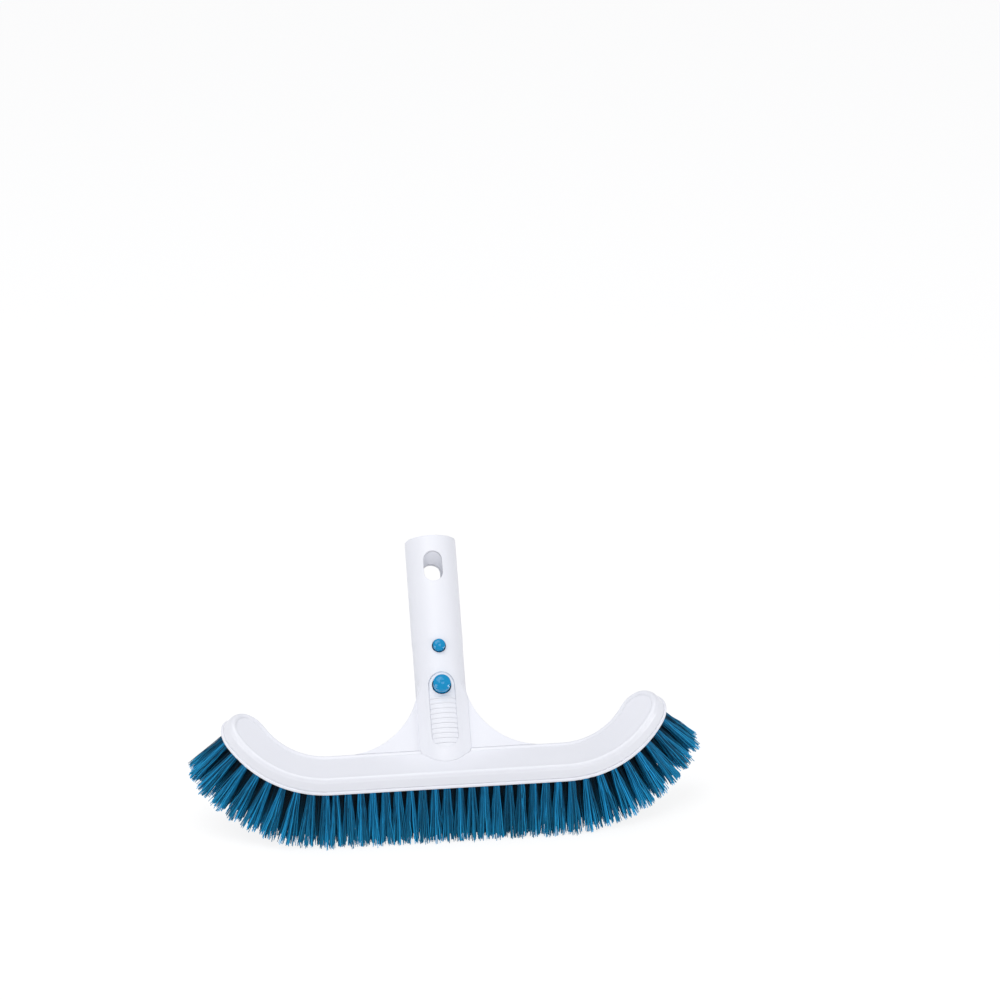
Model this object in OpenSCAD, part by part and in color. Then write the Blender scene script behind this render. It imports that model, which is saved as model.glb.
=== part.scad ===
// Pool wall brush: a bowed head with a clip-on pole handle, bristles down, handle leaned back.
// Millimetres. +X runs along the head, +Y to the back, +Z up.
// The origin is the centre of the handle's open end.

/* [Head] */
// Length of the straight middle of the head
straight_len = 133; // [90:1:220]
// Bend radius of the arms at the middle of the strip
bend_r = 51.5; // [45:0.5:90]
// How far each arm turns up
bend_deg = 57.5; // [30:0.5:65]
// Lean of the handle and of the plane in which the arms rise, from upright
lean = 45; // [35:1:55]
// Width of the strip over its walls
strip_w = 28; // [26:0.5:38]
// Height of the cover's walls
shell_h = 7.2; // [7:0.1:12]
// Radius of the cover's upper edge
edge_r = 2.3; // [1.5:0.1:3]
// Radius of the bead around the top
bead_r = 1.8; // [1:0.1:2]
// How far the bead's middle lies below the top
bead_sink = 0.9; // [0.4:0.1:1.2]
// Thickness of the cover's walls
wall_t = 2; // [1.6:0.1:2.4]
// Thickness of the cover's top
top_t = 2.2; // [2:0.1:2.4]

/* [Bristle block] */
// Height of the block inside the cover
plug_h = 3.5; // [3.3:0.1:3.6]
// Thickness of the block's rim
rim_t = 2.1; // [1.8:0.1:3]
// How far the rim stands out past the cover
rim_out = 0.8; // [0.4:0.1:1.2]
// Depth of the channel for the tuft strips, from the rim's underside
channel_d = 3; // [2.4:0.1:3.4]
// Wall beside the channel
channel_wall = 3.9; // [3.5:0.1:4.5]
// Gap between parts that slip together
slip_gap = 0.15; // [0.1:0.05:0.3]

/* [Bristles] */
// Free length of the bristles
bristle_len = 36; // [20:1:50]
// Rows of tufts across the strip
rows = 4; // [3:1:4]
// Distance of the outer rows from the strip's walls
row_inset = 6; // [5.8:0.1:7]
// How far neighbouring rows are staggered along the strip
row_shift = 1; // [0:0.1:1]
// Strands in each tuft
tuft_strands = 3; // [2:1:3]
// Distance between neighbouring tufts of the front row
tuft_pitch = 7; // [6.6:0.1:9]
// Distance of the strands from the middle of their tuft, at the foot
tuft_r = 1.4; // [0.8:0.05:1.5]
// Distance of the strands from the middle of their tuft, at the tip
tuft_spread = 2.5; // [1.4:0.1:2.6]
// Radius of a strand at its foot
strand_r = 0.65; // [0.4:0.05:0.75]
// Lean of the outer rows away from the middle, at the tip
row_splay = 2; // [0:0.5:4]

/* [Handle] */
// Height of the handle's open end over the head, along the handle
handle_len = 135; // [121:1:220]
// Outer diameter of the handle, which the pole slides over
tube_d = 29.4; // [27:0.1:32]
// Wall of the handle
tube_wall = 2.5; // [2.2:0.1:3]
// How far the handle's axis lies behind the middle of the head, square to the lean
axis_back = 14.8; // [12:0.1:16]
// Length of the round that guides the pole, from the open end
guide_len = 61.5; // [50:0.5:61.5]
// How much slimmer the handle is below that, on its radius
guide_relief = 0.2; // [0.2:0.05:0.4]
// Length over which it grows slimmer
guide_run = 3; // [1:0.5:6]
// How far the top of the handle's solid foot lies below the button
solid_len = 16; // [15:0.5:24]
// Radius of the webs between handle and head
web_r = 43.5; // [25:0.5:48]
// Thickness of the webs
web_t = 4.5; // [3:0.1:6]
// Length over which the webs' outer ends grow thin
web_run = 20; // [10:1:20]
// Width of the flat cheeks beside the handle's front, over the head
cheek_w = 4.3; // [3.5:0.1:5]
// Height at which the cheeks start to run out into the handle
cheek_h = 38; // [30:1:42]
// Length over which they run out
cheek_run = 14; // [10:1:18]
// Width of the hanging slot
slot_w = 10.8; // [6:0.1:11]
// Length of the hanging slot
slot_len = 18; // [14:0.5:26]
// Distance of the slot's centre from the open end
slot_from_end = 18.5; // [16:0.5:30]

/* [Lock clip] */
// Diameter of the pin that locks into the pole
pin_d = 7; // [5:0.1:9]
// Distance of the pin from the open end
pin_from_end = 66.5; // [66.5:0.5:72]
// How far the pin stands out of the handle
pin_proud = 3; // [2:0.1:3.4]
// Diameter of the release button
button_d = 10; // [8:0.1:12]
// Distance of the button from the pin
button_from_pin = 23; // [20:0.5:28]
// How far the button stands out of the handle
button_proud = 5; // [4:0.1:6]
// Travel of the clip when it is pressed
press_travel = 3.5; // [3:0.1:4]
// Gap around the pin and the button
hole_gap = 0.5; // [0.3:0.05:0.7]
// How far the collars under pin and button reach past them
collar_out = 1.4; // [1:0.1:1.8]
// Thickness of the button's collar
collar_t = 1.5; // [1:0.1:2]
// Radius of the pin's domed top
pin_dome_r = 6; // [5.5:0.1:12]
// Radius of the button's domed top
button_dome_r = 8; // [7:0.1:16]
// Diameter of the dimple in the tops of pin and button
dimple_d = 3; // [2:0.1:4]
// Depth of that dimple
dimple_depth = 0.35; // [0.2:0.05:0.6]
// Thickness of the tongue that carries pin and button
tongue_t = 1.6; // [1.2:0.1:2]
// Width of the tongue
tongue_w = 11; // [8:0.5:12]
// Thickness of the leaf spring
leaf_t = 0.6; // [0.4:0.1:0.8]
// Width of the leaf spring
leaf_w = 8; // [5:0.5:9]
// Distance of the leaf spring's foot behind the handle's axis
leaf_back = 5; // [3:0.5:7]
// Length of the leaf that stands straight above its seat
leaf_stand = 2; // [1:0.5:4]
// Height over the button at which the leaf meets the tongue
leaf_rise = 6; // [2:0.5:10]
// Length of the leaf that lies on the tongue
leaf_press = 12; // [6:0.5:16]
// Height of the spring's seat
seat_h = 6; // [5:0.5:7]
// Thickness of the seat under the spring's foot
seat_floor = 1; // [0.6:0.1:2]

/* [Thumb pad] */
// Width of the ribbed pad
pad_w = 15; // [14:0.5:18]
// Length of the plain handle below the pad, over the middle of the head
pad_below = 8.5; // [7:0.5:14]
// Depth of the pad
pad_depth = 0.5; // [0.5:0.1:1.1]
// Distance between the pad's ribs
rib_pitch = 2.9; // [2.4:0.1:4]
// Thickness of a rib
rib_t = 1.1; // [0.8:0.1:1.4]
// How far the ribs lie under the handle's round
rib_under = 0.25; // [0.1:0.05:0.4]

/* [Screws] */
// Diameter of the screws' shanks
screw_d = 3; // [2.5:0.1:3.5]
// Diameter of the screws' heads
head_d = 5.6; // [5:0.1:6.4]
// Height of the block screws' heads
head_h = 1.4; // [1.2:0.1:1.5]
// Height of the handle screws' heads
low_head_h = 1.2; // [1:0.1:1.3]
// Half the distance between the two handle screws
handle_screw_x = 4.5; // [3.5:0.5:5]
// Depth of the handle screws in the handle
handle_screw_in = 4; // [3:0.5:5]
// Distance of the handle screws from the rear bead
handle_screw_inset = 2.9; // [2.6:0.1:3.4]
// Distance of the inner block screws from the middle
inner_screw_x = 32.5; // [20:0.5:36]
// Distance of the outer block screws from the ends of the straight
outer_screw_inset = 5; // [0:0.5:8]

/* [Hidden] */
$fn = 96;
half_straight = straight_len / 2;
half_w = strip_w / 2;
tube_r = tube_d / 2;
grip_r = tube_r - guide_relief;
bore_r = tube_r - tube_wall;
rim_z = -shell_h - rim_t;
channel_half = half_w + rim_out - channel_wall;
channel_top = rim_z + channel_d;
plug_top = -shell_h + plug_h;
skin = 0.8;

// Directions of the leaned plane, and the handle's open end in the head's own frame
up_y = sin(lean);
up_z = cos(lean);
end_y = handle_len * up_y + axis_back * up_z;
end_z = handle_len * up_z - axis_back * up_y;

// Heights along the handle
pin_z = handle_len - pin_from_end;
button_z = pin_z - button_from_pin;
slot_z = handle_len - slot_from_end;
floor_z = button_z - solid_len;
grip_top = handle_len - guide_len - guide_run;
pad_low = pad_below + pad_w / 2;

// Distances of the clip's faces from the handle's axis
pin_collar_r = pin_d / 2 + collar_out;
button_collar_r = button_d / 2 + collar_out;
collar_gap = 0.3;
pin_collar_top = sqrt(pow(bore_r, 2) - pow(pin_collar_r, 2)) - collar_gap;
button_collar_top = sqrt(pow(bore_r, 2) - pow(button_collar_r, 2)) - collar_gap;
tongue_top = button_collar_top - collar_t;
tongue_low = tongue_top - tongue_t;
touch_gap = 0.05;

// Line where the webs meet the top, across the head and up the leaned plane
crease_y = half_w - edge_r;
crease_up = crease_y * up_y;
web_front = crease_y * up_z - axis_back;
web_lift = bead_r / 2;
cheek_side = 0.8;
web_reach = sqrt(pow(grip_r, 2) - pow(web_front, 2)) + web_r;

// How much smaller the section of a closed end is, and how far it reaches into its arm
end_hair = 0.03;
end_lap = 0.3;

// Tuft strips: three on the straight, two on each bend and one on each end
outer_row = half_w - row_inset;
row_step = 2 * outer_row / (rows - 1);
columns_all = round(straight_len / tuft_pitch);
columns_side = floor(columns_all / 3);
columns_third = [columns_side, columns_all - 2 * columns_side, columns_side];
pitch_straight = straight_len / columns_all;
third_from = [-half_straight, columns_side * pitch_straight - half_straight,
    half_straight - columns_side * pitch_straight];
columns_bend = round((bend_r + outer_row * up_y) * bend_deg / 2 / 180 * PI / tuft_pitch);
strip_gap = 0.2;
strip_top = channel_top - slip_gap;
anchor = [2.6, 0.4, 1.5];
anchor_z = strip_top - anchor[2] - slip_gap;
strand_in = 0.8;
strand_taper = 0.6;

// Block screws: on the straight, and half way round each bend
outer_screw_x = half_straight - outer_screw_inset;
block_screw_x = [-outer_screw_x, -inner_screw_x, inner_screw_x, outer_screw_x];

// Puts a shape that is drawn in the leaned plane, from the middle of the head, into the part's frame
module part_frame() {
    translate([0, -end_y, -end_z]) rotate([-lean, 0, 0]) children();
}

// Stands a shape that is drawn upright over the middle of the head in the leaned plane
module upright() {
    rotate([lean, 0, 0]) children();
}

// Moves a shape that is drawn around the handle's axis, with -Y to the front, into the leaned plane
module on_axis() {
    translate([0, axis_back, 0]) children();
}

// Carries a shape, drawn upright at the right end of the straight, round the bend
module round_bend(turn) {
    translate([half_straight, 0, bend_r]) rotate([0, -turn, 0]) translate([0, 0, -bend_r])
        upright() children();
}

// Turns a section of the strip, drawn across it, for a sweep in the leaned plane
module leaned() {
    rotate(-90 - lean) mirror([0, 1]) children();
}

// A section swept along the straight, from the place x towards the left
module straight_sweep(x, length) {
    translate([x, 0, 0]) rotate([0, 0, 180]) rotate([0, 90, 0]) linear_extrude(length) leaned() children();
}

// A section swept round the right bend, between two angles
module bend_sweep(from, to) {
    translate([half_straight, 0, bend_r]) rotate([0, -from, 0]) rotate([0, 90, 0]) rotate([90, 0, 0])
        rotate_extrude(angle = to - from) translate([bend_r, 0]) leaned() children();
}

// A section turned half round to close the right arm's end, let into the arm by a lap
module end_sweep() {
    round_bend(bend_deg) translate([-end_lap, 0, 0]) rotate([0, 0, -90])
        rotate_extrude(angle = 180) intersection() {
            children();
            translate([0, -2 * strip_w]) square([2 * strip_w, 4 * strip_w]);
        }
}

// Sweeps the first section from end to end, and closes both ends with the second, which is a hair smaller
module head_sweep() {
    straight_sweep(half_straight, straight_len) children(0);
    for (side = [0, 1]) mirror([side, 0, 0]) {
        bend_sweep(0, bend_deg) children(0);
        end_sweep() children(1);
    }
}

// Places a shape at each block screw
module at_block_screws() {
    for (x = block_screw_x) translate([x, 0, 0]) upright() children();
    for (side = [0, 1]) mirror([side, 0, 0]) round_bend(bend_deg / 2) children();
}

// Places a shape at each handle screw
module at_handle_screws() {
    for (side = [-1, 1]) translate([side * handle_screw_x, 0, 0]) upright()
        translate([0, crease_y - handle_screw_inset, 0]) children();
}

// Section of the cover, open below, drawn smaller by a hair where it closes an end
module shell_section(hair = 0) {
    difference() {
        union() {
            translate([-half_w + hair, hair - shell_h])
                square([strip_w - 2 * hair, shell_h - edge_r - hair]);
            translate([-crease_y, hair - shell_h]) square([2 * crease_y, shell_h - 2 * hair]);
            for (side = [-1, 1]) {
                translate([side * crease_y, -edge_r]) circle(edge_r - hair);
                translate([side * crease_y, -bead_sink]) circle(bead_r - hair);
            }
        }
        translate([wall_t - half_w - hair, -2 * shell_h])
            square([strip_w - 2 * wall_t + 2 * hair, 2 * shell_h - top_t + hair]);
    }
}

// Section of the bristle block: a plug inside the cover, a round-edged rim and a channel
module block_section(hair = 0) {
    plug_half = half_w - wall_t - slip_gap - hair;
    rim_half = half_w + rim_out - rim_t / 2;
    difference() {
        union() {
            translate([-plug_half, rim_z + hair]) square([2 * plug_half, plug_top - rim_z - 2 * hair]);
            translate([-rim_half, rim_z + hair]) square([2 * rim_half, rim_t - 2 * hair]);
            for (side = [-1, 1]) translate([side * rim_half, rim_z + rim_t / 2]) circle(rim_t / 2 - hair);
        }
        translate([-channel_half - hair, rim_z - 1])
            square([2 * (channel_half + hair), channel_d + 1 + hair]);
    }
}

// Section of a tuft strip in the channel
module strip_section() {
    strip_half = channel_half - slip_gap;
    translate([-strip_half, rim_z]) square([2 * strip_half, strip_top - rim_z]);
}

// The cover of the head, with bosses for the block's screws
module head_shell() {
    color("white") part_frame() difference() {
        union() {
            head_sweep() {
                shell_section();
                shell_section(end_hair);
            }
            at_block_screws() translate([0, 0, plug_top]) cylinder(d = head_d + 2, h = -plug_top - skin);
        }
        at_block_screws() translate([0, 0, plug_top - 1]) cylinder(d = screw_d, h = 1 - plug_top - skin);
        at_handle_screws() translate([0, 0, -shell_h]) cylinder(d = screw_d + 2 * slip_gap, h = 2 * shell_h);
    }
}

// A round hole or stud across the handle's front wall
module front_round(z, d) {
    translate([0, 0, z]) rotate([90, 0, 0]) cylinder(d = d, h = tube_d);
}

// The pad's outline, as a prism through the handle's front
module pad_prism() {
    front_round(button_z, pad_w);
    front_round(pad_low, pad_w);
    translate([-pad_w / 2, -tube_d, pad_low]) cube([pad_w, tube_d, button_z - pad_low]);
}

// The pad: a shallow hollow that follows the handle's round, with its ribs left standing
module pad_hollow() {
    rib_low = pad_low - pad_w / 2;
    rib_count = floor((button_z - button_d / 2 - rib_low - rib_pitch) / rib_pitch);
    intersection() {
        pad_prism();
        difference() {
            cylinder(r = tube_r + 1, h = handle_len);
            cylinder(r = grip_r - pad_depth, h = handle_len);
            for (i = [1:rib_count]) translate([0, 0, rib_low + i * rib_pitch])
                cylinder(r = grip_r - rib_under, h = rib_t);
        }
    }
}

// Both webs, as one plate in the leaned plane with a round hollow on each side
module webs() {
    difference() {
        translate([-web_reach, web_front, 0]) cube([2 * web_reach, web_t, crease_up + web_lift + web_r]);
        for (side = [-1, 1]) translate([side * web_reach, web_front - 1, crease_up + web_lift + web_r])
            rotate([-90, 0, 0]) cylinder(r = web_r, h = web_t + 2);
    }
}

// The cheeks that widen the handle's front down to the webs, and run out into its round at their top
module cheeks() {
    inner = grip_r - cheek_w;
    front = web_front - cheek_side;
    turn = atan2(-front, grip_r);
    corner = norm([grip_r, front]);
    for (side = [0, 1]) mirror([side, 0, 0]) difference() {
        translate([0, 0, -tube_d]) linear_extrude(tube_d + cheek_h + cheek_run)
            polygon([[grip_r, web_front + 1], [inner, web_front + 1],
                [inner, 0.3 - sqrt(pow(grip_r, 2) - pow(inner, 2))],
                [inner, -sqrt(pow(grip_r, 2) - pow(inner, 2))], [grip_r, front]]);
        translate([0, 0, cheek_h]) rotate([0, 0, -turn]) translate([corner, 0, 0])
            rotate([0, -atan2(corner - bore_r - 1, cheek_run), 0])
            translate([0, -tube_r, 0]) cube([tube_r, tube_d, 2 * cheek_run]);
    }
}

// The room behind the webs' outer ends, which grow thin towards the bead
module web_end_room() {
    rise = web_lift + web_r - sqrt(pow(web_r, 2) - pow(web_run, 2));
    back = crease_y + web_t * up_z + rise * up_y;
    for (side = [0, 1]) mirror([side, 0, 0]) translate([0, 0, -tube_d]) linear_extrude(2 * tube_d)
        polygon([[web_reach - web_run, back], [web_reach, crease_y], [web_reach + 1, crease_y],
            [web_reach + 1, back + tube_d], [web_reach - web_run, back + tube_d]]);
}

// The hanging slot through both walls
module hang_slot() {
    half = (slot_len - slot_w) / 2;
    for (side = [-1, 1]) translate([0, tube_d, slot_z + side * half]) rotate([90, 0, 0])
        cylinder(d = slot_w, h = 2 * tube_d);
    translate([-slot_w / 2, -tube_d, slot_z - half]) cube([slot_w, 2 * tube_d, 2 * half]);
}

// The room that the head takes up under the handle: its top, its rounded edge with the bead, and its wall
module head_room() {
    wide = 2 * straight_len;
    deep = 4 * tube_d;
    translate([-wide / 2, -deep, -deep]) cube([wide, deep + crease_y, deep]);
    translate([-wide / 2, 0, -deep]) cube([wide, half_w + touch_gap, deep - edge_r]);
    translate([-wide / 2, -deep, -deep - shell_h]) cube([wide, 2 * deep, deep]);
    translate([-wide / 2, crease_y, 0]) rotate([0, 90, 0]) {
        translate([edge_r, 0, 0]) cylinder(r = edge_r + touch_gap, h = wide);
        translate([bead_sink, 0, 0]) cylinder(r = bead_r + touch_gap, h = wide);
    }
}

// The handle: a tube that the pole slides over, with its webs, pad, slot and holes
module handle() {
    color("white") part_frame() difference() {
        on_axis() difference() {
            union() {
                translate([0, 0, handle_len - guide_len]) cylinder(r = tube_r, h = guide_len);
                translate([0, 0, grip_top]) cylinder(r1 = grip_r, r2 = tube_r, h = guide_run);
                translate([0, 0, -tube_d]) cylinder(r = grip_r, h = grip_top + tube_d);
                webs();
                cheeks();
            }
            translate([0, 0, floor_z]) cylinder(r = bore_r, h = handle_len);
            pad_hollow();
            hang_slot();
            front_round(pin_z, pin_d + 2 * hole_gap);
            front_round(button_z, button_d + 2 * hole_gap);
        }
        upright() head_room();
        upright() web_end_room();
        at_handle_screws() translate([0, 0, -1]) cylinder(d = screw_d, h = handle_screw_in + 1.5);
    }
}

// The block that closes the cover and carries the tuft strips
module bristle_block() {
    color("white") part_frame() difference() {
        head_sweep() {
            block_section();
            block_section(end_hair);
        }
        at_block_screws() {
            translate([0, 0, rim_z]) cylinder(d = screw_d + 2 * slip_gap, h = 2 * shell_h);
            translate([0, 0, channel_top - 1]) cylinder(d = head_d + 2 * slip_gap, h = head_h + 1);
        }
    }
}

// One strand from its foot to its tip, three-sided, thinner at the tip, with one edge turned by an angle
module strand(foot, tip, edge) {
    ring = [for (i = [0:2]) [cos(edge + 120 * i), sin(edge + 120 * i), 0] * strand_r];
    polyhedron(points = concat([for (p = ring) foot + p], [for (p = ring) tip + p * strand_taper]),
        faces = concat([[2, 1, 0], [3, 4, 5]],
            [for (i = [0:2]) [i, (i + 1) % 3, 3 + (i + 1) % 3]],
            [for (i = [0:2]) [i, 3 + (i + 1) % 3, 3 + i]]));
}

// One tuft, with its foot at a place on the strip's underside and its tip moved by a lean
module tuft(place, tip_lean) {
    for (i = [0:tuft_strands - 1]) {
        angle = 360 * i / tuft_strands;
        out = [cos(angle), sin(angle), 0];
        foot = [place[0], place[1], rim_z + strand_in];
        tip = [place[0] + tip_lean[0], place[1] + tip_lean[1], rim_z - bristle_len];
        strand(foot + out * tuft_r, tip + out * tuft_spread, angle);
    }
}

// Slot in a tuft strip for a tuft's anchor, and the anchor in it
module anchor_room(place) {
    translate([place[0] - anchor[0] / 2 - slip_gap, place[1] - anchor[1] / 2 - slip_gap, anchor_z])
        cube([anchor[0] + 2 * slip_gap, anchor[1] + 2 * slip_gap, channel_d]);
}
module tuft_anchor(place) {
    translate([place[0] - anchor[0] / 2, place[1] - anchor[1] / 2, anchor_z]) cube(anchor);
}

// Places of the tufts across the strip, and around a closed end
across = [for (r = [0:rows - 1]) [(r % 2 == 0 ? -1 : 1) * row_shift, r * row_step - outer_row]];
around = concat([for (a = [-67.5, -22.5, 22.5, 67.5]) [cos(a), sin(a)] * outer_row],
    [for (side = [-1, 1]) [tuft_r + strand_r + 2 * strip_gap, side * row_step / 2]]);

// Lean of a tuft at a place across the strip, away from the strip's middle
function lean_out(place) = [place[0], place[1]] / outer_row * row_splay;

// Calls its child at each column of tufts on a third of the straight, and on half of a bend
module columns_straight(third) {
    for (c = [0:columns_third[third] - 1])
        translate([third_from[third] + (c + 0.5) * pitch_straight, 0, 0]) upright() children();
}
module columns_round(from) {
    pitch = bend_deg / 2 / columns_bend;
    for (c = [0:columns_bend - 1]) round_bend(from + (c + 0.5) * pitch) children();
}

// The tufts and anchors of one column, and those of a closed end
module column_tufts() {
    for (place = across) tuft(place, lean_out(place));
}
module column_anchors() {
    for (place = across) tuft_anchor(place);
}
module column_rooms() {
    for (place = across) anchor_room(place);
}
module end_tufts() {
    for (place = around) tuft(place, lean_out(place));
}

// Bristles of one third of the straight, counted from the left
module bristles_straight(third) {
    length = columns_third[third] * pitch_straight;
    color("teal") part_frame() {
        difference() {
            straight_sweep(third_from[third] + length - strip_gap / 2, length - strip_gap) strip_section();
            columns_straight(third) column_rooms();
        }
        columns_straight(third) column_tufts();
    }
}

// Bristles of one half of a bend, counted from the straight, on the right or mirrored to the left
module bristles_bend(half, left) {
    from = half * bend_deg / 2;
    trim = strip_gap / 2 / bend_r * 180 / PI;
    color("teal") part_frame() mirror([left, 0, 0]) {
        difference() {
            bend_sweep(from + trim, from + bend_deg / 2 - trim) strip_section();
            columns_round(from) column_rooms();
        }
        columns_round(from) column_tufts();
    }
}

// Bristles of an arm's closed end
module bristles_end(left) {
    color("teal") part_frame() mirror([left, 0, 0]) {
        difference() {
            end_sweep() strip_section();
            round_bend(bend_deg) translate([strip_gap / 2 - strip_w, -strip_w, rim_z - 1])
                cube([strip_w, 2 * strip_w, shell_h]);
            round_bend(bend_deg) for (place = around) anchor_room(place);
        }
        round_bend(bend_deg) end_tufts();
    }
}

// The flat wire anchors that hold the tufts
module tuft_anchors() {
    color("gold") part_frame() {
        for (third = [0:2]) columns_straight(third) column_anchors();
        for (side = [0, 1]) mirror([side, 0, 0]) {
            for (half = [0, 1]) columns_round(half * bend_deg / 2) column_anchors();
            round_bend(bend_deg) for (place = around) tuft_anchor(place);
        }
    }
}

// A screw with its head down, its seat at height 0 and its shank upwards
module screw(head, length) {
    difference() {
        union() {
            translate([0, 0, -head]) cylinder(d = head_d, h = head);
            cylinder(d = screw_d - 2 * touch_gap, h = length);
        }
        for (turn = [0, 90]) rotate([0, 0, turn]) translate([-head_d / 3, -0.4, -head - 1])
            cube([head_d * 2 / 3, 0.8, 1 + head / 2]);
    }
}
module block_screws() {
    color("silver") part_frame() at_block_screws() translate([0, 0, channel_top + head_h])
        screw(head_h, -channel_top - head_h - skin - slip_gap);
}
module handle_screws() {
    color("silver") part_frame() at_handle_screws() translate([0, 0, -top_t])
        screw(low_head_h, top_t + handle_screw_in);
}

// A round stud of the clip, out to a distance: a collar on the tongue and a stem with a domed, dimpled top
module clip_stud(z, d, collar_r, collar_top, reach, dome_r) {
    dimple_r = (pow(dimple_d / 2, 2) + pow(dimple_depth, 2)) / (2 * dimple_depth);
    translate([0, 0, z]) rotate([90, 0, 0]) rotate_extrude() difference() {
        union() {
            translate([0, tongue_top]) square([collar_r, collar_top - tongue_top]);
            intersection() {
                translate([0, tongue_top]) square([d / 2, reach - tongue_top]);
                translate([0, reach - dome_r]) circle(dome_r);
            }
        }
        translate([0, reach + dimple_r - dimple_depth]) circle(dimple_r);
        translate([-d, 0]) square([d, 2 * reach]);
    }
}
module lock_pin() {
    color("steelblue") part_frame() on_axis()
        clip_stud(pin_z, pin_d, pin_collar_r, pin_collar_top, tube_r + pin_proud, pin_dome_r);
}
module release_button() {
    color("steelblue") part_frame() on_axis()
        clip_stud(button_z, button_d, button_collar_r, button_collar_top,
            tube_r + button_proud, button_dome_r);
}

// The tongue that carries both studs
module clip_tongue() {
    low = button_z - button_collar_r;
    high = pin_z + pin_collar_r;
    color("white") part_frame() on_axis() translate([-tongue_w / 2, -tongue_top, low])
        cube([tongue_w, tongue_t, high - low]);
}

// The leaf spring: it stands in its seat and bows forward to press on the tongue
module clip_spring() {
    low = floor_z + seat_floor;
    seat_top = floor_z + seat_h;
    press_y = -tongue_low + touch_gap + leaf_t / 2;
    route = [[leaf_back, low], [leaf_back, seat_top + leaf_stand],
        [press_y, button_z + leaf_rise], [press_y, button_z + leaf_rise + leaf_press]];
    color("silver") part_frame() on_axis() translate([-leaf_w / 2, 0, 0]) rotate([90, 0, 90])
        linear_extrude(leaf_w) polygon(concat([for (p = route) p - [leaf_t / 2, 0]],
            [for (i = [3:-1:0]) route[i] + [leaf_t / 2, 0]]));
}

// The seat at the bottom of the handle's bore
module clip_seat() {
    color("white") part_frame() on_axis() translate([0, 0, floor_z]) difference() {
        cylinder(r = bore_r - slip_gap, h = seat_h);
        translate([-leaf_w / 2 - slip_gap, leaf_back - leaf_t / 2 - touch_gap, seat_floor])
            cube([leaf_w + 2 * slip_gap, leaf_t + 2 * touch_gap, seat_h]);
    }
}

head_shell();
handle();
bristle_block();
bristles_end(1);  // bristles_left_end
bristles_bend(1, 1);  // bristles_left_arm
bristles_bend(0, 1);  // bristles_left_bend
bristles_straight(0);  // bristles_left_middle
bristles_straight(1);  // bristles_middle
bristles_straight(2);  // bristles_right_middle
bristles_bend(0, 0);  // bristles_right_bend
bristles_bend(1, 0);  // bristles_right_arm
bristles_end(0);  // bristles_right_end
tuft_anchors();
block_screws();
handle_screws();
lock_pin();
release_button();
clip_tongue();
clip_spring();
clip_seat();
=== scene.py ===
"""Looks of a pool wall brush: glossy moulded plastic, a blue clip and full tufts of nylon filament."""

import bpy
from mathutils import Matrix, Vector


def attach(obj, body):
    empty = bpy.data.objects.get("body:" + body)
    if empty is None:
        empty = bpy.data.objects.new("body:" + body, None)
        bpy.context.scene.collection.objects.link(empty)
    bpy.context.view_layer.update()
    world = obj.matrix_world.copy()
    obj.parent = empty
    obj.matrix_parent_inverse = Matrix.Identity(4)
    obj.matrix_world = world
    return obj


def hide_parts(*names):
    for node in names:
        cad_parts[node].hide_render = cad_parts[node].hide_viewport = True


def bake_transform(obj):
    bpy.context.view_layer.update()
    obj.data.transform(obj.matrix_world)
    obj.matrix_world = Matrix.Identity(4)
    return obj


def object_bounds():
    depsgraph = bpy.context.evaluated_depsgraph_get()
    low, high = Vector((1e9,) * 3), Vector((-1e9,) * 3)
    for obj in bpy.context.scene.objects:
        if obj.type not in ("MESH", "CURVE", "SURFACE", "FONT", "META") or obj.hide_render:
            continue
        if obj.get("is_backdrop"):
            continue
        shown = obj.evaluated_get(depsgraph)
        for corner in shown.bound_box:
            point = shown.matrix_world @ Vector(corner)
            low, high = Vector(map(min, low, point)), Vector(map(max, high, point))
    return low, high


bl_info = {
    "name": "Pool wall brush",
    "version": (1, 0, 0),
    "blender": (4, 5, 0),
    "location": "View3D > Sidebar > Brush",
    "description": "Dresses a pool wall brush in moulded plastic and filament tufts",
    "category": "Object",
}

import math

import bmesh
import bpy
import numpy as np
from bpy.props import FloatProperty, FloatVectorProperty, IntProperty, PointerProperty
from mathutils import Matrix, Vector

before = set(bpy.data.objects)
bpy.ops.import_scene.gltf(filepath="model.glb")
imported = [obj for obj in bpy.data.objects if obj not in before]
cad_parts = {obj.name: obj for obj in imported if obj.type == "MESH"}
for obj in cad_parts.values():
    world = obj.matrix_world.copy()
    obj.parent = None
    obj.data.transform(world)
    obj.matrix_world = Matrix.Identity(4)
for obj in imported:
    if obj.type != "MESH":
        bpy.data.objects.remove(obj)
CAD_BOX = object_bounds()

COVER_NODES = ("head_shell",)
WHITE_NODES = ("handle", "bristle_block", "clip_seat")
BLUE_NODES = ("lock_pin", "release_button", "clip_tongue")
STEEL_NODES = ("block_screws", "handle_screws")
BRASS_NODES = ("tuft_anchors",)

# Radius of a fine edge, in metres
FINE_EDGE = 0.0004

# Tufts on the half ring of a closed end
END_TUFTS = 4

# Steps of the meshes
FILAMENT_SIDES = 4
FILAMENT_RINGS = 6
END_STEPS = 24
BEND_STATIONS = 13
LEAF_CUTS = 17

# Material slots of a piece of bristles
FILAMENT_SLOT = 0
STRIP_SLOT = 1


def length(name, description, default):
    """A length in metres."""
    return FloatProperty(name=name, description=description, default=default, unit="LENGTH", precision=5)


def angle(name, description, degrees):
    """An angle, given in degrees."""
    return FloatProperty(name=name, description=description, default=math.radians(degrees), subtype="ANGLE")


def colour(name, description, default):
    """A linear colour."""
    return FloatVectorProperty(name=name, description=description, default=default, size=3,
                               min=0.0, max=1.0, subtype="COLOR")


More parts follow.
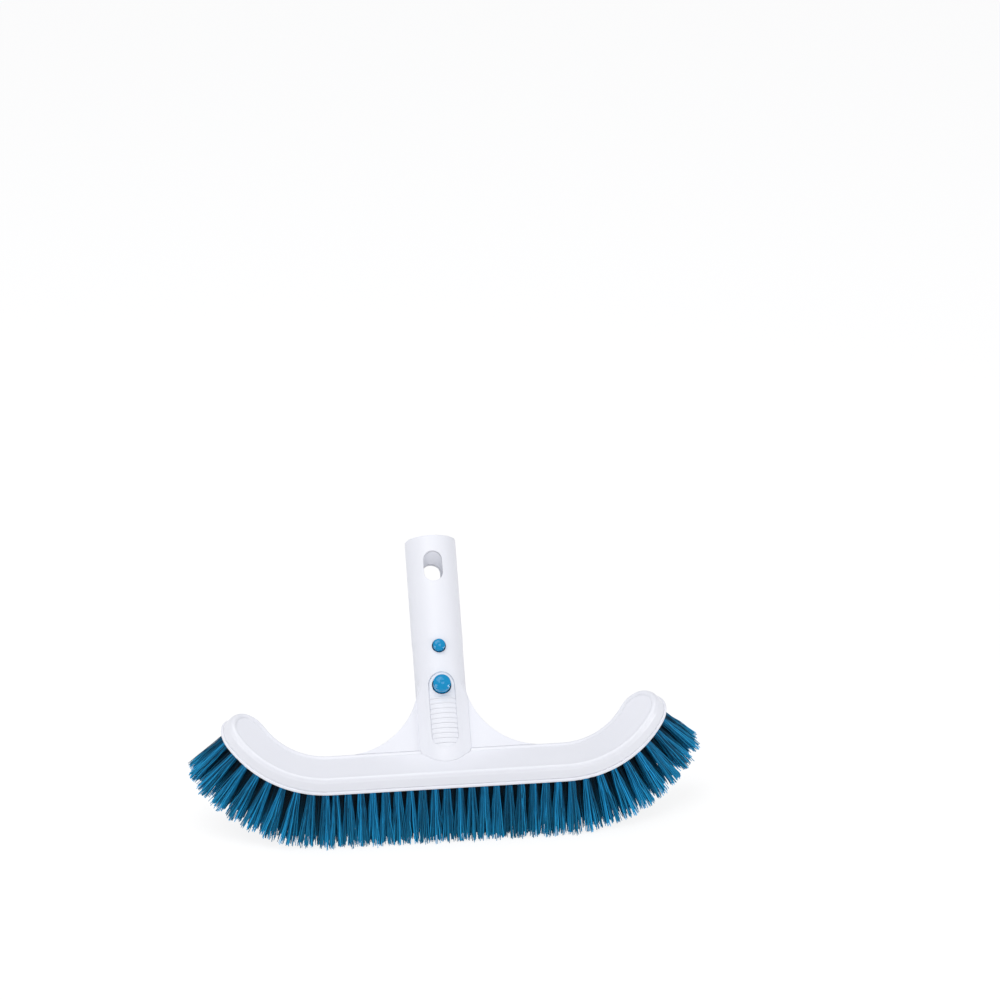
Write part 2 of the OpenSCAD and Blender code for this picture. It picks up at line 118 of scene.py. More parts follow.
class BrushSizes(bpy.types.PropertyGroup):
    """Sizes of the head that the tufts stand in, and of the leaf spring's bend."""

    straight: length("Straight", "Length of the straight middle of the head", 0.133)
    bend_radius: length("Bend radius", "Bend radius of the arms at the middle of the strip", 0.0515)
    bend_turn: angle("Bend", "How far each arm turns up", 57.5)
    lean: angle("Lean", "Lean of the handle and of the arms' plane, from upright", 45)
    handle: length("Handle", "Height of the handle's open end over the head, along the handle", 0.135)
    axis_back: length("Axis back", "How far the handle's axis lies behind the middle of the head", 0.0148)
    half_width: length("Half width", "Half the width of the strip over its walls", 0.014)
    rim_drop: length("Rim drop", "Height of the head from its top to the rim's underside", 0.0093)
    strip_half: length("Tuft strip", "Half the width of a tuft strip", 0.01075)
    strip_thick: length("Strip thickness", "Thickness of a tuft strip", 0.00285)
    strip_gap: length("Strip gap", "Gap between neighbouring tuft strips", 0.0002)
    row_inset: length("Row inset", "Distance of the outer rows from the strip's walls", 0.006)
    row_shift: length("Row shift", "How far neighbouring rows are staggered along the strip", 0.001)
    rows: IntProperty(name="Rows", description="Rows of tufts across the strip", default=4, min=2)
    columns: IntProperty(name="Columns", description="Columns of tufts on the straight", default=19, min=3)
    bend_columns: IntProperty(name="Bend columns", description="Columns of tufts on half a bend", default=4)
    bristle: length("Bristle", "Free length of the bristles", 0.036)
    leaf_seat: length("Leaf seat", "Where the leaf spring leaves its seat, from the open end", 0.0995)
    leaf_touch: length("Leaf touch", "Where the leaf spring meets the tongue, from the open end", 0.0835)


class BrushFilaments(bpy.types.PropertyGroup):
    """How the filaments of a tuft stand."""

    count: IntProperty(name="Filaments", description="Filaments in each tuft", default=64, min=8)
    radius: length("Radius", "Radius of a filament", 0.00026)
    foot: length("Foot", "Radius of a tuft at its foot", 0.0014)
    inner_foot: length("Inner foot", "Radius of a tuft of the inner rows at its foot", 0.0025)
    spread: length("Spread", "Radius of a tuft at its tip", 0.005)
    inner_shift: length("Inner shift", "How much further the inner rows are staggered", 0.0015)
    fan: FloatProperty(name="Fan", description="Factor on the spread along the bends",
                       default=1.15, min=1.0)
    end_fan: FloatProperty(name="End fan", description="Factor on the spread at the closed ends",
                           default=0.8, min=0.1)
    splay: length("Splay", "Lean of the outer rows away from the middle, at the tip", 0.002)
    stray: length("Stray", "How far a filament's tip strays by itself", 0.0006)
    crimp: length("Crimp", "How far a filament wavers on its way", 0.0002)
    ragged: length("Ragged", "How much shorter the shorter filaments are", 0.0024)
    clumps: IntProperty(name="Clumps", description="Bundles that a tuft's tips gather in", default=6, min=1)
    gather: FloatProperty(name="Gather", description="How far tips are drawn into their bundle",
                          default=0.5, min=0.0, max=1.0, subtype="FACTOR")
    embed: length("Embed", "How deep the filaments stand in the strip", 0.001)
    seed: IntProperty(name="Seed", description="Seed of the filaments' small differences", default=7)


class BrushColours(bpy.types.PropertyGroup):
    """Colours of the mouldings, the bristles and the metal."""

    white: colour("White", "White of the mouldings", (0.905, 0.915, 0.96))
    white_cool: colour("Cool white", "Slightly darker white that clouds them", (0.875, 0.886, 0.94))
    blue: colour("Blue", "Blue of the pin and the button", (0.001, 0.30, 0.60))
    blue_deep: colour("Deep blue", "Slightly deeper blue that clouds them", (0.001, 0.26, 0.54))
    bristle: colour("Bristle", "Teal blue of the bristles", (0.010, 0.212, 0.43))
    # Painted shade: the near-black colour of the filaments deep between the tufts, where the outer rows
    # shade them
    bristle_painted_shade: colour("Deep bristle", "Bristles deep between the tufts", (0.0005, 0.006, 0.014))
    # Painted light: the paler colour that the tips take, for light through the thin nylon
    bristle_tip_light: colour("Bristle tip", "Paler tips of the bristles", (0.017, 0.30, 0.54))
    steel: colour("Steel", "Stainless steel", (0.62, 0.63, 0.65))
    brass: colour("Brass", "Brass wire", (0.66, 0.48, 0.18))
    floor: colour("Floor", "Pale floor", (0.80, 0.80, 0.80))


class BrushView(bpy.types.PropertyGroup):
    """The camera, and the point that it looks at."""

    elevation: angle("Elevation", "Height of the camera over the horizon", 27.28)
    side: angle("Side", "How far the camera stands to the left of the front", 3.73)
    roll: angle("Roll", "How far the camera is tipped to its right", 1.4)
    distance: length("Distance", "Distance of the camera from the handle's open end", 2.277)
    field: angle("Field of view", "Angle that the picture spans", 14.515)
    aim_right: length("Aim right", "How far the picture's middle lies right of the open end", 0.04065)
    aim_up: length("Aim up", "How far the picture's middle lies above the open end", 0.02472)


# Materials

def new_material(name):
    """A material with a principled shader, as (material, nodes, links, shader)."""
    material = bpy.data.materials.new(name)
    material.use_nodes = True
    nodes = material.node_tree.nodes
    return material, nodes, material.node_tree.links, nodes["Principled BSDF"]


def noise(nodes, links, scale, detail=4.0):
    """Noise in the object's own frame, in metres, so that it stays with the piece."""
    place = nodes.new("ShaderNodeTexCoord")
    texture = nodes.new("ShaderNodeTexNoise")
    texture.inputs["Scale"].default_value = scale
    texture.inputs["Detail"].default_value = detail
    links.new(place.outputs["Object"], texture.inputs["Vector"])
    return texture


def mix_colours(nodes, links, factor, first, second, target):
    """Mixes two colours by a factor into a colour socket."""
    mix = nodes.new("ShaderNodeMix")
    mix.data_type = "RGBA"
    mix.inputs["A"].default_value = (*first, 1.0)
    mix.inputs["B"].default_value = (*second, 1.0)
    links.new(factor, mix.inputs["Factor"])
    links.new(mix.outputs["Result"], target)
    return mix


def vary(nodes, links, factor, low, high, target):
    """Spreads a factor over a range of values and feeds it to a socket."""
    spread = nodes.new("ShaderNodeMapRange")
    spread.inputs["To Min"].default_value = low
    spread.inputs["To Max"].default_value = high
    links.new(factor, spread.inputs["Value"])
    links.new(spread.outputs["Result"], target)


def add_bump(nodes, links, height, shader, strength, distance):
    """Raises the surface slightly by a height."""
    bump = nodes.new("ShaderNodeBump")
    bump.inputs["Strength"].default_value = strength
    bump.inputs["Distance"].default_value = distance
    links.new(height, bump.inputs["Height"])
    links.new(bump.outputs["Normal"], shader.inputs["Normal"])
    return bump


def moulded_plastic(name, first, second, roughness, coat, edge):
    """Glossy moulded plastic: faint clouds, uneven gloss, a fine skin from the mould and softened edges."""
    uneven = 0.03
    material, nodes, links, shader = new_material(name)
    clouds = noise(nodes, links, scale=38.0)
    mix_colours(nodes, links, clouds.outputs["Fac"], first, second, shader.inputs["Base Color"])
    sheen = noise(nodes, links, scale=160.0, detail=3.0)
    vary(nodes, links, sheen.outputs["Fac"], roughness - uneven, roughness + uneven,
         shader.inputs["Roughness"])
    skin = noise(nodes, links, scale=700.0, detail=2.0)
    bump = add_bump(nodes, links, skin.outputs["Fac"], shader, strength=0.008, distance=0.0001)
    soft_edge = nodes.new("ShaderNodeBevel")
    soft_edge.inputs["Radius"].default_value = edge
    links.new(soft_edge.outputs["Normal"], bump.inputs["Normal"])
    shader.inputs["Coat Weight"].default_value = coat
    shader.inputs["Coat Roughness"].default_value = 0.2
    shader.inputs["IOR"].default_value = 1.46
    return material


def metal(name, tint, roughness):
    """Drawn metal: a brushed grain that varies its gloss and its colour a little."""
    dimmed, polished, dulled = 0.82, 0.08, 0.1
    material, nodes, links, shader = new_material(name)
    grain = noise(nodes, links, scale=420.0, detail=6.0)
    darker = tuple(dimmed * c for c in tint)
    mix_colours(nodes, links, grain.outputs["Fac"], tint, darker, shader.inputs["Base Color"])
    vary(nodes, links, grain.outputs["Fac"], roughness - polished, roughness + dulled,
         shader.inputs["Roughness"])
    add_bump(nodes, links, grain.outputs["Fac"], shader, strength=0.08, distance=0.0001)
    shader.inputs["Metallic"].default_value = 1.0
    return material


def nylon_filament(name, outside, painted_shade, painted_tip_light):
    """Nylon bristle: painted shade darkens it deep between the tufts, painted light makes it paler at its
    tips, each filament a little different.
    """
    darkest, brightest = 0.3, 1.75
    glossiest, dullest = 0.38, 0.54
    material, nodes, links, shader = new_material(name)
    # The attribute deep paints shade onto the filaments between the tufts
    painted_dark_mask, tip, own = [nodes.new("ShaderNodeAttribute") for _ in range(3)]
    painted_dark_mask.attribute_name = "deep"
    tip.attribute_name = "tip"
    own.attribute_name = "own_shade"
    shade = nodes.new("ShaderNodeHueSaturation")
    # The attribute tip paints light onto the filaments, paler towards their tips
    paler = mix_colours(nodes, links, tip.outputs["Fac"], outside, painted_tip_light, shade.inputs["Color"])
    mix_colours(nodes, links, painted_dark_mask.outputs["Fac"], outside, painted_shade, paler.inputs["A"])
    vary(nodes, links, own.outputs["Fac"], darkest, brightest, shade.inputs["Value"])
    links.new(shade.outputs["Color"], shader.inputs["Base Color"])
    vary(nodes, links, own.outputs["Fac"], glossiest, dullest, shader.inputs["Roughness"])
    shader.inputs["Specular IOR Level"].default_value = 0.1
    return material


def dress(names, material):
    """Gives nodes of the part a material."""
    for name in names:
        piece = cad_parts[name]
        piece.data.materials.clear()
        piece.data.materials.append(material)


# Places on the head

def row_from_leaned(sizes):
    """Takes the leaned plane of handle and arms, from the middle of the head, to the part's frame."""
    up_y, up_z = math.sin(sizes.lean), math.cos(sizes.lean)
    end_y = sizes.handle * up_y + sizes.axis_back * up_z
    end_z = sizes.handle * up_z - sizes.axis_back * up_y
    return Matrix.Translation((0, -end_y, -end_z)) @ Matrix.Rotation(-sizes.lean, 4, "X")


def on_straight(sizes, x):
    """Takes the strip's own frame to a place on the straight."""
    return row_from_leaned(sizes) @ Matrix.Translation((x, 0, 0)) @ Matrix.Rotation(sizes.lean, 4, "X")


def on_bend(sizes, turn, side):
    """Takes the strip's own frame to a place round the right bend, or mirrored round the left one."""
    mirror = Matrix.Diagonal((side, 1, 1, 1))
    swing = (Matrix.Translation((sizes.straight / 2, 0, sizes.bend_radius)) @ Matrix.Rotation(-turn, 4, "Y")
             @ Matrix.Translation((0, 0, -sizes.bend_radius)))
    return row_from_leaned(sizes) @ mirror @ swing @ Matrix.Rotation(sizes.lean, 4, "X")


def moved(matrix, points):
    """Points taken through a matrix."""
    turn = np.array(matrix.to_3x3())
    return points @ turn.T + np.array(matrix.translation)


def outer_row(sizes):
    """Distance of the outer rows from the middle of the strip."""
    return sizes.half_width - sizes.row_inset


def row_places(sizes, filaments):
    """Places of one column of tufts across the strip, the inner rows between those of the outer ones."""
    outer = outer_row(sizes)
    places = []
    for i, y in enumerate(np.linspace(-outer, outer, sizes.rows)):
        inner = 0 < i < sizes.rows - 1
        shift = sizes.row_shift + inner * filaments.inner_shift
        places.append((shift if i % 2 else -shift, y))
    return places


def end_places(sizes, filaments):
    """Places of the tufts on a closed end: a half ring, and two behind it."""
    outer = outer_row(sizes)
    turns = np.radians((np.arange(END_TUFTS) - (END_TUFTS - 1) / 2) * 180 / END_TUFTS)
    ring = [(outer * math.cos(turn), outer * math.sin(turn)) for turn in turns]
    behind = [(filaments.foot + 2 * sizes.strip_gap, side * outer / 3) for side in (-1, 1)]
    return ring + behind


# Meshes

class MeshParts:
    """Vertices, faces and what each vertex and face carries, gathered for one mesh."""

    def __init__(self):
        self.points = []
        self.faces = []
        self.slots = []
        # deep carries painted shade between the tufts
        self.deep = []
        # tip carries painted light, paler towards the filaments' tips
        self.tip = []
        self.own_shade = []
        self.size = 0

    def add(self, points, faces, slot, deep=0.0, tip=0.0, own_shade=0.5):
        """Adds a piece of mesh, given as points and as lists of point numbers."""
        count = len(points)
        self.points.append(points)
        self.faces.extend([[self.size + i for i in face] for face in faces])
        self.slots.extend([slot] * len(faces))
        self.deep.append(np.broadcast_to(deep, count))
        self.tip.append(np.broadcast_to(tip, count))
        self.own_shade.append(np.broadcast_to(own_shade, count))
        self.size += count

    def build(self, name, materials, flip):
        """Makes the mesh object, with its faces turned over if it was mirrored."""
        faces = [face[::-1] for face in self.faces] if flip else self.faces
        mesh = bpy.data.meshes.new(name)
        mesh.from_pydata(np.concatenate(self.points).tolist(), [], faces)
        for material in materials:
            mesh.materials.append(material)
        mesh.polygons.foreach_set("material_index", self.slots)
        for label, values in (("deep", self.deep), ("tip", self.tip), ("own_shade", self.own_shade)):
            layer = mesh.attributes.new(label, "FLOAT", "POINT")
            layer.data.foreach_set("value", np.concatenate(values).astype(np.float32))
        mesh.validate()
        mesh.update()
        piece = bpy.data.objects.new(name, mesh)
        bpy.context.scene.collection.objects.link(piece)
        return piece


def filament_faces():
    """Faces of one filament, ring by ring, closed at both ends."""
    faces = [list(range(FILAMENT_SIDES))]
    for ring in range(FILAMENT_RINGS - 1):
        for side in range(FILAMENT_SIDES):
            a = ring * FILAMENT_SIDES + side
            b = ring * FILAMENT_SIDES + (side + 1) % FILAMENT_SIDES
            faces.append([a, a + FILAMENT_SIDES, b + FILAMENT_SIDES, b])
    last = (FILAMENT_RINGS - 1) * FILAMENT_SIDES
    faces.append([last + side for side in reversed(range(FILAMENT_SIDES))])
    return faces


def tuft_disc(count, random):
    """Filaments spread evenly over a disc of radius 1, turned by chance."""
    golden = math.pi * (3 - math.sqrt(5))
    reach = np.sqrt((np.arange(count) + 0.5) / count)
    turn = golden * np.arange(count) + random.uniform(0, 2 * math.pi)
    return np.stack([reach * np.cos(turn), reach * np.sin(turn)], 1)


def tuft_tips(filaments, middle, disc, spread, random):
    """Where the filaments of a tuft end: fanned out, strayed, then drawn into bundles."""
    bundle_reach, weakest_pull = 0.8, 0.3
    count = len(disc)
    tip = middle + disc * spread
    tip += random.normal(0, filaments.stray, (count, 2))
    bundles = middle + random.uniform(-bundle_reach, bundle_reach, (filaments.clumps, 2)) * spread
    nearest = np.argmin(((tip[:, None] - bundles[None]) ** 2).sum(2), 1)
    pull = filaments.gather * random.uniform(weakest_pull, 1.0, (count, 1))
    return tip + (bundles[nearest] - tip) * pull


def filament_lines(sizes, filaments, foot, tip, random):
    """Middle lines of the filaments, ring by ring from the strip down, with ragged ends."""
    # Most filaments are only a little shorter than the longest
    rise, fall = 1.2, 2.6
    count = len(foot)
    drop = sizes.bristle - filaments.ragged * random.beta(rise, fall, count)
    share = np.linspace(0, 1, FILAMENT_RINGS)
    line = np.empty((count, FILAMENT_RINGS, 3))
    line[:, :, :2] = foot[:, None] + (tip - foot)[:, None] * share[None, :, None]
    line[:, 1:-1, :2] += random.normal(0, filaments.crimp, (count, FILAMENT_RINGS - 2, 2))
    line[:, :, 2] = filaments.embed - sizes.rim_drop - (drop + filaments.embed)[:, None] * share
    return line


def filament_ring(radius):
    """Corners of a ring round a filament's middle line."""
    corner = math.pi / 4 + np.arange(FILAMENT_SIDES) * 2 * math.pi / FILAMENT_SIDES
    return np.stack([np.cos(corner), np.sin(corner), np.zeros(FILAMENT_SIDES)], 1) * radius


def add_tuft(parts, sizes, filaments, matrix, place, fan, random):
    """One tuft: filaments that start close together, spread and gather in ragged bundles at the tip."""
    inner_share, shaded_share, tip_width = 0.8, 0.6, 0.9
    shade_fade, tip_light_fade = 3.2, 3
    outer = outer_row(sizes)
    middle = np.array(place)
    inner = np.hypot(*place) < inner_share * outer
    disc = tuft_disc(filaments.count, random)
    foot = middle + disc * (filaments.inner_foot if inner else filaments.foot)
    splayed = middle * (1 + filaments.splay / outer)
    tip = tuft_tips(filaments, splayed, disc, filaments.spread * np.array(fan), random)
    line = filament_lines(sizes, filaments, foot, tip, random)
    share = np.linspace(0, 1, FILAMENT_RINGS)
    width = np.where(share < 1, 1.0, tip_width)
    points = line[:, :, None] + filament_ring(filaments.radius) * width[:, None, None]
    shades = random.uniform(0, 1, filaments.count)
    # Filaments near the middle of the strip stand in the shade of the outer rows
    off_middle = np.hypot(np.maximum(foot[:, 0] - sizes.row_shift - filaments.foot, 0), foot[:, 1])
    painted_shade = np.clip((outer + filaments.foot - off_middle) / (shaded_share * outer), 0, 1)
    # Painted shade, darkest at the filaments' feet and fading towards their tips
    deep = painted_shade[:, None] * np.repeat(1 - share ** shade_fade, FILAMENT_SIDES)
    # Painted light, paler towards each filament's tip
    painted_tip_light = np.repeat(share ** tip_light_fade, FILAMENT_SIDES)
    faces = filament_faces()
    for one, painted_dark_mask, shade in zip(points.reshape(filaments.count, -1, 3), deep, shades):
        parts.add(moved(matrix, one), faces, FILAMENT_SLOT, painted_dark_mask, painted_tip_light, shade)


def add_strip(parts, sizes, stations):
    """A tuft strip swept through its stations, closed at both ends."""
    low, high = -sizes.rim_drop, sizes.strip_thick - sizes.rim_drop
    section = np.array([[0, -sizes.strip_half, low], [0, sizes.strip_half, low],
                        [0, sizes.strip_half, high], [0, -sizes.strip_half, high]])
    points = np.concatenate([moved(station, section) for station in stations])
    corners = len(section)
    last = corners * (len(stations) - 1)
    faces = [list(reversed(range(corners))), list(range(last, last + corners))]
    for step in range(len(stations) - 1):
        for side in range(corners):
            a = corners * step + side
            b = corners * step + (side + 1) % corners
            faces.append([a, b, b + corners, a + corners])
    parts.add(points, faces, STRIP_SLOT)


def add_end_strip(parts, sizes, matrix):
    """The half-round tuft strip of a closed end."""
    steps = END_STEPS
    low, high = -sizes.rim_drop, sizes.strip_thick - sizes.rim_drop
    angles = np.linspace(-math.pi / 2, math.pi / 2, steps)
    radius = sizes.strip_half - sizes.strip_gap
    x = sizes.strip_gap / 2 + radius * np.cos(angles)
    y = radius * np.sin(angles)
    bottom = np.stack([x, y, np.full(steps, low)], 1)
    top = np.stack([x, y, np.full(steps, high)], 1)
    faces = [list(reversed(range(steps))), list(range(steps, 2 * steps))]
    for i in range(steps):
        j = (i + 1) % steps
        faces.append([i, j, steps + j, steps + i])
    parts.add(moved(matrix, np.concatenate([bottom, top])), faces, STRIP_SLOT)


# Operators

class BRUSH_OT_plastic(bpy.types.Operator):
    """Gives the cover, the handle, the block and the seat their white plastic"""

    bl_idname = "brush.plastic"
    bl_label = "White mouldings"

    def execute(self, context):
        colours = context.scene.brush_colours
        whites = (colours.white, colours.white_cool)
        cover = moulded_plastic("cover_moulding", *whites, roughness=0.3, coat=0.25, edge=0.0012)
        white = moulded_plastic("white_moulding", *whites, roughness=0.45, coat=0.08, edge=FINE_EDGE)
        dress(COVER_NODES, cover)
        dress(WHITE_NODES, white)
        return {"FINISHED"}


class BRUSH_OT_clip(bpy.types.Operator):
    """Gives the pin, the button and their tongue their blue plastic"""

    bl_idname = "brush.clip"
    bl_label = "Lock clip"

    def execute(self, context):
        colours = context.scene.brush_colours
        blues = (colours.blue, colours.blue_deep)
        blue = moulded_plastic("blue_moulding", *blues, roughness=0.08, coat=0.0, edge=FINE_EDGE)
        dress(BLUE_NODES, blue)
        return {"FINISHED"}


class BRUSH_OT_metal(bpy.types.Operator):
    """Gives the screws and the tuft anchors their metal"""

    bl_idname = "brush.metal"
    bl_label = "Screws and anchors"

    def execute(self, context):
        colours = context.scene.brush_colours
        dress(STEEL_NODES, metal("stainless_steel", colours.steel, roughness=0.32))
        dress(BRASS_NODES, metal("anchor_brass", colours.brass, roughness=0.36))
        return {"FINISHED"}


class BRUSH_OT_spring(bpy.types.Operator):
    """Makes the leaf spring from the clip spring, cut across from its seat to where it meets the tongue"""

    bl_idname = "brush.spring"
    bl_label = "Leaf spring"

    def execute(self, context):
        sizes, colours = context.scene.brush_sizes, context.scene.brush_colours
        up = Vector((0, math.sin(sizes.lean), math.cos(sizes.lean)))
        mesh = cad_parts["clip_spring"].data.copy()
        mesh.name = "leaf_spring"
        leaf = bmesh.new()
        leaf.from_mesh(mesh)
        for reach in np.linspace(sizes.leaf_seat, sizes.leaf_touch, LEAF_CUTS):
            everything = leaf.verts[:] + leaf.edges[:] + leaf.faces[:]
            bmesh.ops.bisect_plane(leaf, geom=everything, plane_co=-reach * up, plane_no=up)
        leaf.to_mesh(mesh)
        leaf.free()
        mesh.materials.clear()
        mesh.materials.append(metal("spring_steel", colours.steel, roughness=0.28))
        piece = bpy.data.objects.new("leaf_spring", mesh)
        context.scene.collection.objects.link(piece)
        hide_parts("clip_spring")
        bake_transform(piece)
        return {"FINISHED"}


class BRUSH_OT_bristles(bpy.types.Operator):
    """Makes the tuft strips with their filaments, one piece for each bristle node"""

    bl_idname = "brush.bristles"
    bl_label = "Bristles"

    def execute(self, context):
        scene = context.scene
        sizes, filaments, colours = scene.brush_sizes, scene.brush_filaments, scene.brush_colours
        nylon = nylon_filament("nylon_bristle", colours.bristle, colours.bristle_painted_shade, colours.bristle_tip_light)
        strip = moulded_plastic("white_strip", colours.white, colours.white_cool, roughness=0.4, coat=0.1,
                                edge=FINE_EDGE)
        self.make_straight(sizes, filaments, (nylon, strip))
        for side, word in ((1, "right"), (-1, "left")):
            self.make_arm(sizes, filaments, (nylon, strip), side, word)
        return {"FINISHED"}

    def make_straight(self, sizes, filaments, materials):
        """The three pieces of bristles along the straight, from left to right."""
        rows = row_places(sizes, filaments)
        even_fan = (1, 1)
        pitch = sizes.straight / sizes.columns
        third = sizes.columns // 3
        low = -sizes.straight / 2
        counts = {"left_middle": third, "middle": sizes.columns - 2 * third, "right_middle": third}
        for name, count in counts.items():
            places = [low + (c + 0.5) * pitch for c in range(count)]
            ends = (low + sizes.strip_gap / 2, low + count * pitch - sizes.strip_gap / 2)
            columns = [on_straight(sizes, x) for x in places]
            stations = [on_straight(sizes, x) for x in ends]
            self.make(name, columns, rows, even_fan, stations, materials, flip=False)
            low += count * pitch

    def make_arm(self, sizes, filaments, materials, side, word):
        """The pieces of bristles round one bend and on its closed end."""
        rows = row_places(sizes, filaments)
        half = sizes.bend_turn / 2
        trim = sizes.strip_gap / 2 / sizes.bend_radius
        bend_fan = (filaments.fan, 1)
        end_fan = (filaments.end_fan, filaments.end_fan)
        flip = side < 0
        for i, part in enumerate(("bend", "arm")):
            turns = [half * (i + (c + 0.5) / sizes.bend_columns) for c in range(sizes.bend_columns)]
            sweep = np.linspace(half * i + trim, half * (i + 1) - trim, BEND_STATIONS)
            columns = [on_bend(sizes, turn, side) for turn in turns]
            stations = [on_bend(sizes, turn, side) for turn in sweep]
            self.make(f"{word}_{part}", columns, rows, bend_fan, stations, materials, flip)
        end = [on_bend(sizes, sizes.bend_turn, side)]
        self.make(f"{word}_end", end, end_places(sizes, filaments), end_fan, None, materials, flip)

    def make(self, name, columns, places, fan, stations, materials, flip):
        """One piece of bristles for its node; its strip is half round if it has no stations."""
        scene = bpy.context.scene
        sizes, filaments = scene.brush_sizes, scene.brush_filaments
        random = np.random.default_rng([filaments.seed, *name.encode()])
        parts = MeshParts()
        for matrix in columns:
            for place in places:
                add_tuft(parts, sizes, filaments, matrix, place, fan, random)
        if stations:
            add_strip(parts, sizes, stations)
        else:
            add_end_strip(parts, sizes, columns[0])
        piece = parts.build(f"{name}_tufts", materials, flip)
        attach(piece, "brush")
        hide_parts(f"bristles_{name}")


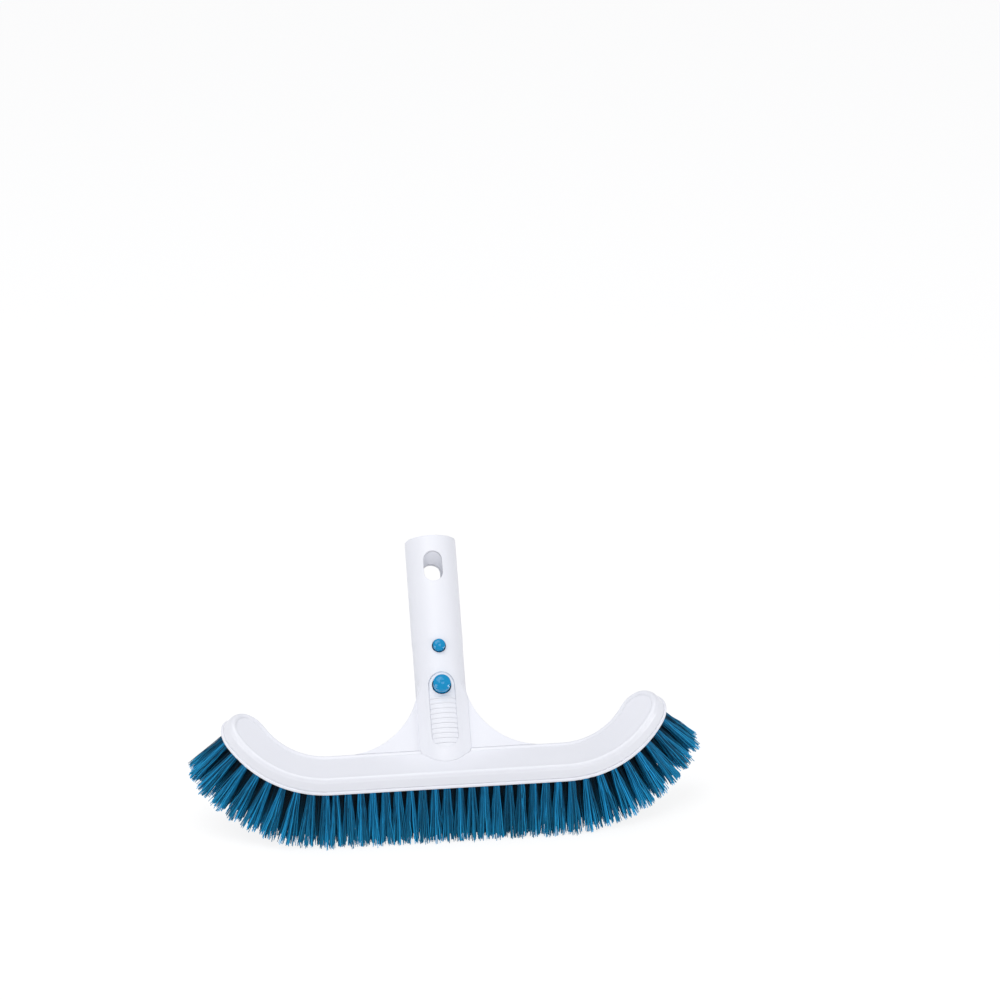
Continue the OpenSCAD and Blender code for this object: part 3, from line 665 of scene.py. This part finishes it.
class BRUSH_OT_stage(bpy.types.Operator):
    """Makes the floor, the studio light and the camera"""

    bl_idname = "brush.stage"
    bl_label = "Stage"

    def execute(self, context):
        scene = context.scene
        scene.view_settings.view_transform = "Standard"
        self.make_floor(scene)
        self.make_world(scene)
        self.make_lights(scene)
        self.make_camera(scene)
        return {"FINISHED"}

    def make_floor(self, scene):
        """A wide pale floor under the bristles' tips."""
        half = 4.0
        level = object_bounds()[0].z
        corners = [(x * half, y * half, level) for x, y in ((-1, -1), (1, -1), (1, 1), (-1, 1))]
        mesh = bpy.data.meshes.new("floor")
        mesh.from_pydata(corners, [], [(0, 1, 2, 3)])
        floor = bpy.data.objects.new("floor", mesh)
        scene.collection.objects.link(floor)
        mesh.materials.append(self.floor_material(scene))
        floor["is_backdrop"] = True

    def floor_material(self, scene):
        """A floor that looks white to the eye, in gloss and through clear parts, and keeps the shadow."""
        own_light, shadow_grey = 0.84, 0.22
        material, nodes, links, shader = new_material("pale_floor")
        shader.inputs["Base Color"].default_value = (*scene.brush_colours.floor, 1.0)
        shader.inputs["Roughness"].default_value = 0.9
        seen = nodes.new("ShaderNodeAddShader")
        glow = nodes.new("ShaderNodeEmission")
        glow.inputs["Strength"].default_value = own_light
        matt = nodes.new("ShaderNodeBsdfDiffuse")
        matt.inputs["Color"].default_value = (shadow_grey, shadow_grey, shadow_grey, 1.0)
        links.new(glow.outputs["Emission"], seen.inputs[0])
        links.new(matt.outputs["BSDF"], seen.inputs[1])
        mix = nodes.new("ShaderNodeMixShader")
        links.new(self.seen_rays(nodes, links), mix.inputs["Fac"])
        links.new(shader.outputs["BSDF"], mix.inputs[1])
        links.new(seen.outputs["Shader"], mix.inputs[2])
        links.new(mix.outputs["Shader"], nodes["Material Output"].inputs["Surface"])
        return material

    def seen_rays(self, nodes, links):
        """A factor of 1 for the camera's rays and for those seen in gloss or through clear parts."""
        rays = nodes.new("ShaderNodeLightPath")
        seen = rays.outputs["Is Camera Ray"]
        for name in ("Is Glossy Ray", "Is Transmission Ray"):
            either = nodes.new("ShaderNodeMath")
            either.operation = "MAXIMUM"
            links.new(seen, either.inputs[0])
            links.new(rays.outputs[name], either.inputs[1])
            seen = either.outputs["Value"]
        return seen

    def make_world(self, scene):
        """An even pale light from all round."""
        world = bpy.data.worlds.new("studio")
        world.use_nodes = True
        ground = world.node_tree.nodes["Background"]
        ground.inputs["Color"].default_value = (0.955, 0.96, 1.0, 1.0)
        ground.inputs["Strength"].default_value = 0.48
        scene.world = world

    def make_lights(self, scene):
        """A broad lamp overhead and softer ones from both sides."""
        self.add_lamp(scene, "overhead", offset=Vector((-0.25, -0.15, 1.3)), size=1.1, power=8.1)
        self.add_lamp(scene, "left_fill", offset=Vector((-1.2, -0.9, 0.5)), size=0.7, power=4.4)
        self.add_lamp(scene, "right_fill", offset=Vector((1.25, -0.8, 0.32)), size=0.4, power=5.3)

    def add_lamp(self, scene, name, offset, size, power):
        """A square lamp at an offset from the middle of the brush, turned towards it."""
        lamp = bpy.data.lights.new(name, "AREA")
        lamp.size = size
        lamp.energy = power
        holder = bpy.data.objects.new(name, lamp)
        holder.location = (CAD_BOX[0] + CAD_BOX[1]) / 2 + offset
        holder.rotation_euler = (-offset).to_track_quat("-Z", "Y").to_euler()
        scene.collection.objects.link(holder)

    def make_camera(self, scene):
        """The camera, with the handle's open end at its place in the picture."""
        view = scene.brush_view
        back = Vector((-math.sin(view.side) * math.cos(view.elevation),
                       -math.cos(view.side) * math.cos(view.elevation), math.sin(view.elevation)))
        level = Vector((math.cos(view.side), -math.sin(view.side), 0))
        right = Matrix.Rotation(-view.roll, 3, back) @ level
        up = back.cross(right)
        place = back * view.distance
        look = (right * view.aim_right + up * view.aim_up - place).normalized()
        right = (right - look * right.dot(look)).normalized()
        turn = Matrix((right, right.cross(look), -look)).transposed()
        lens = bpy.data.cameras.new("camera")
        lens.sensor_fit = "HORIZONTAL"
        lens.angle = view.field
        lens.clip_start = 0.05
        holder = bpy.data.objects.new("camera", lens)
        holder.matrix_world = Matrix.Translation(place) @ turn.to_4x4()
        scene.collection.objects.link(holder)
        scene.camera = holder


class BRUSH_PT_panel(bpy.types.Panel):
    """Lists the brush's settings and the steps that make its looks"""

    bl_idname = "BRUSH_PT_panel"
    bl_label = "Pool wall brush"
    bl_space_type = "VIEW_3D"
    bl_region_type = "UI"
    bl_category = "Brush"

    def draw(self, context):
        layout = self.layout
        for name, group in GROUPS:
            box = layout.box()
            for key in group.__annotations__:
                box.prop(getattr(context.scene, name), key)
        for operator in OPERATORS:
            layout.operator(operator.bl_idname)


GROUPS = (("brush_sizes", BrushSizes), ("brush_filaments", BrushFilaments),
          ("brush_colours", BrushColours), ("brush_view", BrushView))
OPERATORS = (BRUSH_OT_plastic, BRUSH_OT_clip, BRUSH_OT_metal, BRUSH_OT_spring,
             BRUSH_OT_bristles, BRUSH_OT_stage)


def register():
    """Registers the classes and hangs the settings on the scene."""
    for name, group in GROUPS:
        bpy.utils.register_class(group)
        setattr(bpy.types.Scene, name, PointerProperty(type=group))
    for operator in OPERATORS:
        bpy.utils.register_class(operator)
    bpy.utils.register_class(BRUSH_PT_panel)


def unregister():
    """Takes everything back off."""
    bpy.utils.unregister_class(BRUSH_PT_panel)
    for operator in reversed(OPERATORS):
        bpy.utils.unregister_class(operator)
    for name, group in reversed(GROUPS):
        delattr(bpy.types.Scene, name)
        bpy.utils.unregister_class(group)


def main():
    """Makes the looks in order."""
    register()
    bpy.ops.brush.plastic()
    bpy.ops.brush.clip()
    bpy.ops.brush.metal()
    bpy.ops.brush.spring()
    bpy.ops.brush.bristles()
    bpy.ops.brush.stage()


if __name__ == "__main__":
    main()
